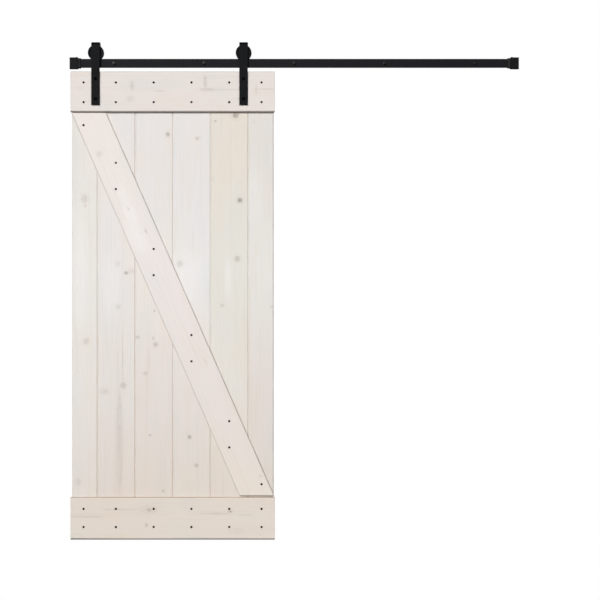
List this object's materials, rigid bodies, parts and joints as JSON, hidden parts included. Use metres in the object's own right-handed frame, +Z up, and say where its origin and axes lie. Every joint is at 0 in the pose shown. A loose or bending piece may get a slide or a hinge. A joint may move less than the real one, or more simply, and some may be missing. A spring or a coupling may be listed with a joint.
{
  "type": "sliding barn door",
  "caption": "Boarded wooden barn door leaf with a diagonal brace, hung by strap rollers from a flat steel wall track with end stops.",
  "frame": {"origin": "face of the wall at the middle wall fixing, half way up the rail", "axes": "+X along the rail to the right as seen from the room, +Y into the wall, +Z up; the leaf faces -Y"},
  "size_m": [2.024, 0.107, 2.241],
  "materials": {
    "pine_planks": "whitewashed knotty pine",
    "pine_boards": "whitewashed knotty pine",
    "wood_screws": "black phosphate",
    "black_steel": "matt black powder coat",
    "black_wheel": "matt black powder coat",
    "black_fixings": "black oxide",
    "zinc_steel": "zinc plated",
    "bearing_steel": "ground bearing steel",
    "rubber": "black rubber"
  },
  "bodies": {
    "track": {"track_rail": "black_steel", "track_spacer_1": "black_steel", "track_spacer_2": "black_steel", "track_spacer_3": "black_steel", "track_spacer_4": "black_steel", "track_spacer_5": "black_steel", "lag_screws": "black_fixings", "lag_washers": "black_fixings", "left_end_stop": "black_steel", "right_end_stop": "black_steel", "left_stop_bumper": "rubber", "right_stop_bumper": "rubber", "stop_set_screws": "black_fixings"},
    "door": {"plank_1": "pine_planks", "plank_2": "pine_planks", "plank_3": "pine_planks", "plank_4": "pine_planks", "plank_5": "pine_planks", "plank_6": "pine_planks", "top_board": "pine_boards", "bottom_board": "pine_boards", "diagonal_brace": "pine_boards", "top_board_screws": "wood_screws", "bottom_board_screws": "wood_screws", "brace_screws": "wood_screws", "left_hanger_strap": "black_steel", "left_axle_bolt": "zinc_steel", "left_axle_sleeves": "zinc_steel", "left_strap_bolts": "black_fixings", "left_strap_washers": "zinc_steel", "left_strap_nuts": "zinc_steel", "left_bearing_inner_ring": "bearing_steel", "right_hanger_strap": "black_steel", "right_axle_bolt": "zinc_steel", "right_axle_sleeves": "zinc_steel", "right_strap_bolts": "black_fixings", "right_strap_washers": "zinc_steel", "right_strap_nuts": "zinc_steel", "right_bearing_inner_ring": "bearing_steel"},
    "left_roller": {"left_wheel": "black_wheel", "left_bearing_outer_ring": "bearing_steel", "left_bearing_balls": "bearing_steel", "left_bearing_shields": "bearing_steel", "left_retaining_ring": "zinc_steel"},
    "right_roller": {"right_wheel": "black_wheel", "right_bearing_outer_ring": "bearing_steel", "right_bearing_balls": "bearing_steel", "right_bearing_shields": "bearing_steel", "right_retaining_ring": "zinc_steel"}
  },
  "joints": [
    {"name": "door_slide", "type": "slide", "parent": "track", "child": "door", "axis": [1, 0, 0], "range_m": [-0.04, 1.16]},
    {"name": "left_wheel_roll", "type": "hinge", "parent": "door", "child": "left_roller", "pos_m": [-0.894, -0.038, 0.0472], "axis": [0, 1, 0], "continuous": true},
    {"name": "right_wheel_roll", "type": "hinge", "parent": "door", "child": "right_roller", "pos_m": [-0.228, -0.038, 0.0472], "axis": [0, 1, 0], "continuous": true}
  ],
  "couplings": [
    {"joint": "left_wheel_roll", "follows": "door_slide", "rad_per_m": 37.037},
    {"joint": "right_wheel_roll", "follows": "door_slide", "rad_per_m": 37.037}
  ]
}
